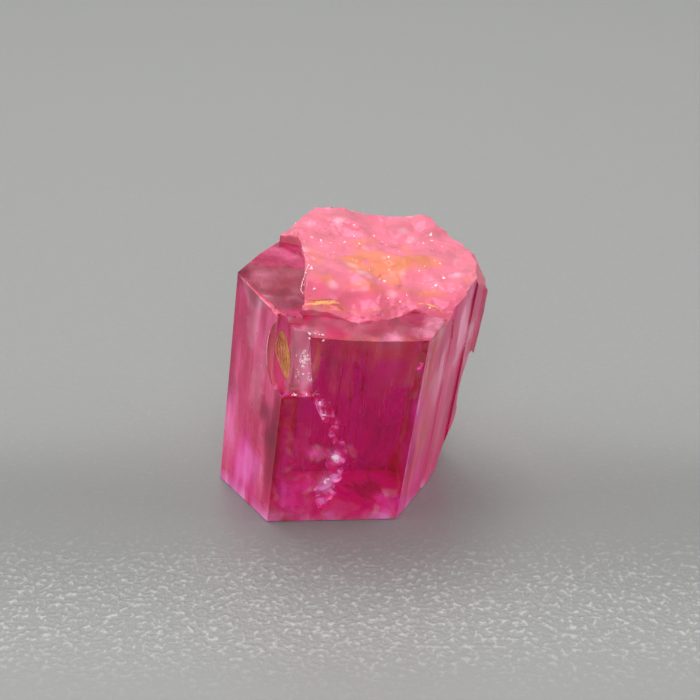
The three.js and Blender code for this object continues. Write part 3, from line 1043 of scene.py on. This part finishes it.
def lay_films(name, surface, lines, lift, values):
    """A piece of thin films laid along lines, a little proud of the surface."""
    paths = [
        ([surface.settle(p, facing, -lift) for p in fine_path(points, FILM_STEP)], facing, width)
        for points, facing, width in lines]
    return grow(name, path_mesh(name, paths), film_tree(), values)


class REDBERYL_OT_iron_stain(bpy.types.Operator):
    """Make the thin films of iron stain on the crystal's faces and along its cracks"""

    bl_idname = "redberyl.iron_stain"
    bl_label = "Iron stain"

    def execute(self, context):
        props = context.scene.red_beryl_crystal
        surface = Surface()
        leaf = tuple(
            (leaf_strip(i / (LEAF_STRIPS - 1)), FRONT_LEFT, LEAF_WIDTH)
            for i in range(LEAF_STRIPS))
        strands = tuple(
            (tuple(on_front_left(*p) for p in points), FRONT_LEFT, width)
            for points, width in LEAF_STRANDS)
        for name, stain, pale, dark, lines, lift, thickness in (
            ("ochre_films", "ochre_stain", props.ochre_colour, props.rust_colour,
             leaf + STAIN_FILMS, 0.001, 0.06),
            ("brown_films", "brown_stain", props.rust_colour, props.brown_stain_colour,
             strands + STAIN_LINES, 0.004, 0.3),
        ):
            material = blotched_material(
                stain, pale, dark, STAIN_GRAIN, 0.15, {"Roughness": 0.45})
            piece = lay_films(
                name, surface, lines, lift, {"Thickness": thickness, "Material": material})
            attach(piece, BODY)
        return {"FINISHED"}


SHEET_STEPS = 8  # how many faces a sheet has each way


def sheet_mesh(name, sheets):
    """Curved sheets in mm, each a grid bent about its own middle."""
    bm = bmesh.new()
    thick = bm.faces.layers.float.new("thick")
    grid = [i / SHEET_STEPS - 0.5 for i in range(SHEET_STEPS + 1)]
    for centre, facing, size, bend, share in sheets:
        out = outwards(facing).normalized()
        up = outwards(UP)
        if abs(out.dot(up)) > 0.9:
            up = outwards(FRONT)
        side = up.cross(out).normalized()
        up = out.cross(side)
        rows = [
            [bm.verts.new(
                place(*centre) + side * a * size[0] + up * b * size[1]
                - out * (bend * (a * a + b * b))) for b in grid]
            for a in grid]
        for row, after in zip(rows, rows[1:]):
            for corners in zip(row, after, after[1:], row[1:]):
                bm.faces.new(corners)[thick] = share
    return finished(bm, name)


FLAKE_SIDES = 5
FLAKE_POINTS = FLAKE_SIDES + 2
VEIL_GRAIN = (3.0, 3.0)  # blotches to the mm, and how much fine detail they have


def veil_tree():
    """Geometry Nodes: a veil of small flakes and bubbles scattered over each sheet."""
    make, start = start_tree("veil", {
        "Per Area": 350.0, "Smallest": 0.004, "Largest": 0.009, "Depth": 0.12,
        "Drawn Out": 1.5, "Flatness": 0.4, "Scatter": math.pi, "Wisp Size": 0.4,
        "Seed": 5.0})

    def random_vector(reach):
        return make(
            "FunctionNodeRandomValue",
            {"Min": (-reach,) * 3, "Max": (reach,) * 3, "Seed": start["Seed"]},
            data_type="FLOAT_VECTOR")

    # Flakes gather in wisps.
    wisp = make.noise(
        make("GeometryNodeInputPosition"), make.math("DIVIDE", 1.0, start["Wisp Size"]), 3.0)
    density = make.math("MULTIPLY", make.attribute("thick", "FLOAT"), start["Per Area"])
    gathered = make.math("MULTIPLY", density, make.ramp(wisp, 0.42, 0.62))
    spots = make(
        "GeometryNodeDistributePointsOnFaces",
        {"Mesh": start["Geometry"], "Density": gathered, "Seed": start["Seed"]})
    spread = make.move(spots, make.vector("SCALE", random_vector(0.5), start["Depth"]))
    # A flake is a small pyramid, flattened one way and drawn out along the long axis.
    flake = make(
        "GeometryNodeMeshCone",
        {"Vertices": FLAKE_SIDES, "Radius Top": 0.0, "Radius Bottom": 1.0, "Depth": 2.0},
        fill_type="TRIANGLE_FAN")
    shape = make("ShaderNodeCombineXYZ", {0: 1.0, 1: start["Flatness"], 2: start["Drawn Out"]})
    flat = make("GeometryNodeTransform", {"Geometry": flake, "Scale": shape})
    swing = make.vector("SCALE", random_vector(1.0), start["Scatter"])
    size = make(
        "FunctionNodeRandomValue",
        {2: start["Smallest"], 3: start["Largest"], "Seed": start["Seed"]}, 1,
        data_type="FLOAT")
    flakes = make(
        "GeometryNodeInstanceOnPoints",
        {"Points": spread, "Instance": flat, "Scale": size,
         "Rotation": make.vector("ADD", swing, tuple(LEAN.to_euler()))})
    return end_tree(make, flakes, start)


# Healed fractures: centre (u, v, w), facing, size and bend in mm, and how thick with flakes.
VEILS = (
    ((-0.15, 1.6, 4.1), (0.2, 1.0, 0.4), (0.7, 0.6), 0.1, 1.5),
    ((0.7, 1.3, 3.3), (0.35, 0.9, 0.1), (1.1, 1.8), 0.3, 0.6),
    ((-0.5, 1.6, 1.9), (-0.3, 1.0, 0.1), (1.0, 1.9), 0.2, 0.8),
    ((-1.65, 0.5, 3.2), (-1.0, 0.2, 0.0), (1.6, 2.2), 0.3, 1.0),
    ((-1.5, 0.0, 1.4), (-1.0, 0.4, 0.2), (2.0, 1.8), 0.3, 1.0),
    ((1.75, 0.9, 3.0), (0.8, 0.6, 0.0), (1.0, 2.6), 0.2, 1.0),
    ((0.0, 0.9, 0.6), (0.1, 0.6, 0.8), (2.2, 1.2), 0.2, 0.8),
)

# Growth tubes along the long axis, in the same terms.
TUBE_SHEETS = (
    ((-0.05, 1.7, 3.6), (0.1, 1.0, 0.0), (0.5, 1.2), 0.1, 1.2),
    ((0.6, 1.65, 3.4), (0.2, 1.0, 0.0), (1.2, 1.6), 0.1, 0.5),
    ((-0.5, 1.7, 2.1), (-0.1, 1.0, 0.0), (0.8, 1.8), 0.1, 0.4),
    ((-1.7, 0.4, 2.6), (-1.0, 0.2, 0.0), (2.2, 3.4), 0.2, 1.0),
    ((1.65, 1.0, 2.6), (0.8, 0.6, 0.0), (0.9, 3.4), 0.1, 1.2),
)

# Glints: clusters of larger pale flakes that paint sparkles of light in the niche, on the
# ledge, along the chips and on top.
GLINTS = (
    ((-0.75, 1.78, 3.86), FRONT, (0.11, 0.11), 0.0, 45.0),
    ((-0.74, 1.78, 3.9), FRONT, (0.3, 0.05), 0.0, 14.0),
    ((-0.75, 1.78, 3.85), FRONT, (0.05, 0.4), 0.0, 14.0),
    ((-0.72, 1.78, 3.6), FRONT, (0.3, 0.5), 0.0, 0.7),
    ((-0.6, 1.78, 3.45), FRONT, (0.08, 0.25), 0.0, 6.0),
    ((-0.75, 1.84, 3.2), (0.0, 1.0, 0.3), (0.45, 0.08), 0.0, 1.5),
    ((-0.62, 1.84, 4.4), RISER, (0.35, 0.15), 0.0, 1.5),
    ((-0.45, 1.86, 3.08), FRONT, (0.2, 0.25), 0.0, 0.8),
    ((-0.22, 1.86, 2.8), FRONT, (0.25, 0.3), 0.0, 0.5),
    ((0.02, 1.86, 1.78), FRONT, (0.12, 0.12), 0.0, 20.0),
    ((-0.1, 1.86, 1.25), FRONT, (0.1, 0.12), 0.0, 4.0),
    ((1.34, 1.84, 3.7), (0.8, 0.5, 0.0), (0.05, 0.1), 0.0, 2.0),
    ((-0.69, 0.4, 4.58), UP, (0.06, 0.9), 0.0, 1.5),
    ((0.4, -0.4, 4.7), UP, (2.8, 2.2), 0.0, 0.05),
    ((1.2, 0.5, 4.7), UP, (1.2, 1.0), 0.0, 0.07),
)

# Pale streaks on the surface, partly painted highlights along edges that catch the light, as
# points (u, v, w), facing and half width in mm.
EDGE_HIGHLIGHT_STREAKS = (
    (((1.37, 1.79, 4.2), (1.4, 1.75, 3.8), (1.41, 1.72, 3.4)), FRONT_RIGHT, 0.014),
    (((1.34, 1.85, 3.9), (1.35, 1.83, 3.3), (1.35, 1.83, 2.7)), FRONT_RIGHT, 0.01),
    (((1.32, 1.88, 2.4), (1.33, 1.87, 1.6), (1.33, 1.87, 0.9)), FRONT_RIGHT, 0.008),
    (((-0.79, 0.91, 4.56), (-0.86, 0.7, 4.56), (-0.8, 0.3, 4.56), (-0.7, -0.1, 4.56)),
     UP, 0.009),
    (((-1.25, 1.51, 4.5), (-1.5, 1.09, 4.5), (-1.8, 0.56, 4.5)), UP, 0.008),
)


def veil_material(name, pale, dark):
    return blotched_material(
        name, pale, dark, VEIL_GRAIN, 0.1, {"Roughness": 0.3, "Specular IOR Level": 0.3})


class REDBERYL_OT_healed_fractures(bpy.types.Operator):
    """Make the veils of fine flakes inside the crystal, its growth tubes and the pale flakes that
    paint its glints
    """

    bl_idname = "redberyl.healed_fractures"
    bl_label = "Healed fractures"

    def execute(self, context):
        props = context.scene.red_beryl_crystal
        surface = Surface()
        pale = veil_material("healed_fracture", props.pale_haze_colour, props.hot_colour)
        materials = {
            "healed_fractures": pale, "growth_tubes": pale,
            "glints": veil_material("glint", props.sparkle_colour, props.pale_highlight_colour)}
        tree = veil_tree()
        for name, sheets, sizes in (
            ("healed_fractures", VEILS, {}),
            ("growth_tubes", TUBE_SHEETS, {
                "Per Area": 60.0, "Smallest": 0.003, "Largest": 0.007, "Depth": 0.2,
                "Drawn Out": 30.0, "Flatness": 1.0, "Scatter": 0.05, "Seed": 2.0}),
            ("glints", GLINTS, {
                "Per Area": 300.0, "Smallest": 0.006, "Largest": 0.035, "Depth": 0.02,
                "Drawn Out": 1.0, "Flatness": 0.5, "Wisp Size": 0.08, "Seed": 9.0}),
        ):
            piece = grow(
                name, sheet_mesh(name, sheets), tree, {**sizes, "Material": materials[name]})
            if name == "glints":
                surface.lay(piece.data, FLAKE_POINTS)
            else:
                surface.keep_inside(piece.data, FLAKE_POINTS)
            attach(piece, BODY)
        return {"FINISHED"}


class REDBERYL_OT_edge_highlight_streaks(bpy.types.Operator):
    """Make the pale streaks on the side faces and along the edges, partly painted highlights where
    the edges catch the light
    """

    bl_idname = "redberyl.worn_streaks"
    bl_label = "Worn streaks"

    def execute(self, context):
        props = context.scene.red_beryl_crystal
        material = veil_material("edge_highlight_streak", props.pale_highlight_colour, props.pale_haze_colour)
        piece = lay_films("worn_streaks", Surface(), EDGE_HIGHLIGHT_STREAKS, 0.0, {
            "Thickness": 0.15, "Rag": 1.6, "Wave Size": 0.3, "Wave Depth": 0.05,
            "Seed": 7.0, "Material": material})
        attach(piece, BODY)
        return {"FINISHED"}


# ---- stage

AIR_GAP = 0.02  # in mm, between the crystal's flat base and the floor
FLOOR_SIDES = 96
BEND = 0.3  # radius of the curve up into the floor's rim, as a share of the floor's
BEND_STEPS = 16
CAMERA_TARGET = (0.569, 0.0, 2.545)  # in mm, from the foot of the crystal's long axis


def floor_mesh(radius):
    """A seamless round floor in mm whose rim curves up into a wall."""
    bend = BEND * radius
    profile = [(0.0, 0.0), (radius * 0.3, 0.0), (radius * 0.6, 0.0)]
    for i in range(BEND_STEPS + 1):
        around = math.radians(90 * i / BEND_STEPS)
        profile.append((radius - bend + bend * math.sin(around), bend * (1 - math.cos(around))))
    profile.append((radius, bend * 1.3))
    sides = FLOOR_SIDES
    verts = [(0, 0, -AIR_GAP)]
    for r, z in profile[1:]:
        for i in range(sides):
            around = 2 * math.pi * i / sides
            verts.append((r * math.cos(around), r * math.sin(around), z - AIR_GAP))
    faces = [(0, 1 + i, 1 + (i + 1) % sides) for i in range(sides)]
    for ring in range(len(profile) - 2):
        a, b = 1 + ring * sides, 1 + (ring + 1) * sides
        for i in range(sides):
            j = (i + 1) % sides
            faces.append((a + i, b + i, b + j, a + j))
    mesh = bpy.data.meshes.new("floor")
    mesh.from_pydata(verts, [], faces)
    mesh.polygons.foreach_set("use_smooth", [True] * len(mesh.polygons))
    return mesh


def floor_material(props):
    """Pale grey sheet with a fine grain that is plainest just before the crystal."""
    material, make = start_material("pale_sheet")
    coords = make("ShaderNodeTexCoord", output="Object")
    grain = make.noise(coords, 0.8 / props.grain_size, 3.0)
    depth = make("ShaderNodeSeparateXYZ", {0: coords}, "Y")

    def band(middle, near, far, low, high):
        """A value that changes from low to high away from a line across the sheet."""
        away = make.math("ABSOLUTE", make.math("SUBTRACT", depth, middle))
        return make.ramp(away, near, far, low, high, "SMOOTHSTEP")

    # The grain is plain in front of the crystal, and its tops are painted brighter as sparkle.
    plain = band(-0.0042, 0.0004, 0.0024, 1.0, 0.1)
    bump = make(
        "ShaderNodeBump",
        {"Strength": plain, "Distance": props.grain_size * 0.6, "Height": grain})
    worn = make.ramp(grain, 0.52, 0.7, 0.0, 0.6, "SMOOTHSTEP")
    bright = make.math("MULTIPLY_ADD", worn, plain, 1.0)
    # Painted shade: a slightly darker band where the sheet passes under the crystal.
    light = make.math("MULTIPLY", band(-0.0017, 0.0006, 0.0036, 0.8, 1.0), bright)
    shader = make(
        "ShaderNodeBsdfPrincipled",
        {"Base Color": make.vector("SCALE", tuple(props.floor_colour), light),
         "Roughness": 0.38, "Normal": bump})
    make("ShaderNodeOutputMaterial", {"Surface": shader})
    return material


def panel_light(name, size, radiance, spot):
    """A square light panel of a given brightness, in metres, that faces the origin."""
    data = bpy.data.lights.new(name, "AREA")
    data.shape = "SQUARE"
    data.size = size
    data.energy = radiance * math.pi * size * size
    light = bpy.data.objects.new(name, data)
    light.location = spot
    light.rotation_euler = (Vector() - Vector(spot)).to_track_quat("-Z", "Y").to_euler()
    bpy.context.scene.collection.objects.link(light)


def make_camera(props):
    target = (FOOT + Vector(CAMERA_TARGET)) * MM
    tilt = props.camera_elevation
    back = Vector((0, -math.cos(tilt), math.sin(tilt)))
    data = bpy.data.cameras.new("camera")
    data.lens = props.lens
    data.clip_start = 0.002
    data.clip_end = 1.0
    camera = bpy.data.objects.new("camera", data)
    camera.location = target + back * props.camera_distance
    camera.rotation_euler = Euler((math.pi / 2 - tilt, 0, 0))
    bpy.context.scene.collection.objects.link(camera)
    bpy.context.scene.camera = camera


class REDBERYL_OT_stage(bpy.types.Operator):
    """Make the pale floor, the soft lights and the camera"""

    bl_idname = "redberyl.stage"
    bl_label = "Stage"

    def execute(self, context):
        props = context.scene.red_beryl_stage
        mesh = floor_mesh(props.floor_radius / MM)
        mesh.transform(Matrix.Scale(MM, 4))
        floor = show("floor", mesh)
        mesh.materials.append(floor_material(props))
        world = bpy.data.worlds.new("surroundings")
        world.use_nodes = True
        world.node_tree.nodes["Background"].inputs["Color"].default_value = (1, 1, 1, 1)
        world.node_tree.nodes["Background"].inputs["Strength"].default_value = props.sky
        context.scene.world = world
        panel_light("key", 0.05, props.key, (-0.015, 0.03, 0.11))
        for name, spot in (
            ("left_fill", (-0.2, 0.0, 0.085)), ("right_fill", (0.2, 0.0, 0.085)),
            ("front_fill", (0.0, -0.2, 0.11)),
        ):
            panel_light(name, 0.14, props.fill, spot)
        make_camera(props)
        context.scene.view_settings.view_transform = "Standard"
        return {"FINISHED"}


# ---- panel


class REDBERYL_PT_panel(bpy.types.Panel):
    """Lists the crystal's operators and their sizes and colours"""

    bl_label = "Red Beryl"
    bl_space_type = "VIEW_3D"
    bl_region_type = "UI"
    bl_category = "Red Beryl"

    def draw(self, context):
        for group, operators in (
            (context.scene.red_beryl_crystal,
             (REDBERYL_OT_crystal, REDBERYL_OT_iron_stain, REDBERYL_OT_edge_highlight_streaks,
              REDBERYL_OT_healed_fractures)),
            (context.scene.red_beryl_stage, (REDBERYL_OT_stage,)),
        ):
            box = self.layout.box()
            for operator in operators:
                box.operator(operator.bl_idname)
            for name in group.__annotations__:
                box.prop(group, name)


CLASSES = (
    CrystalProps, StageProps, REDBERYL_OT_crystal, REDBERYL_OT_iron_stain,
    REDBERYL_OT_edge_highlight_streaks, REDBERYL_OT_healed_fractures, REDBERYL_OT_stage,
    REDBERYL_PT_panel,
)


def register():
    for cls in CLASSES:
        bpy.utils.register_class(cls)
    scene = bpy.types.Scene
    scene.red_beryl_crystal = bpy.props.PointerProperty(type=CrystalProps)
    scene.red_beryl_stage = bpy.props.PointerProperty(type=StageProps)


def unregister():
    del bpy.types.Scene.red_beryl_stage
    del bpy.types.Scene.red_beryl_crystal
    for cls in reversed(CLASSES):
        bpy.utils.unregister_class(cls)


def main():
    register()
    bpy.ops.redberyl.crystal()
    bpy.ops.redberyl.iron_stain()
    bpy.ops.redberyl.worn_streaks()
    bpy.ops.redberyl.healed_fractures()
    bpy.ops.redberyl.stage()


if __name__ == "__main__":
    main()
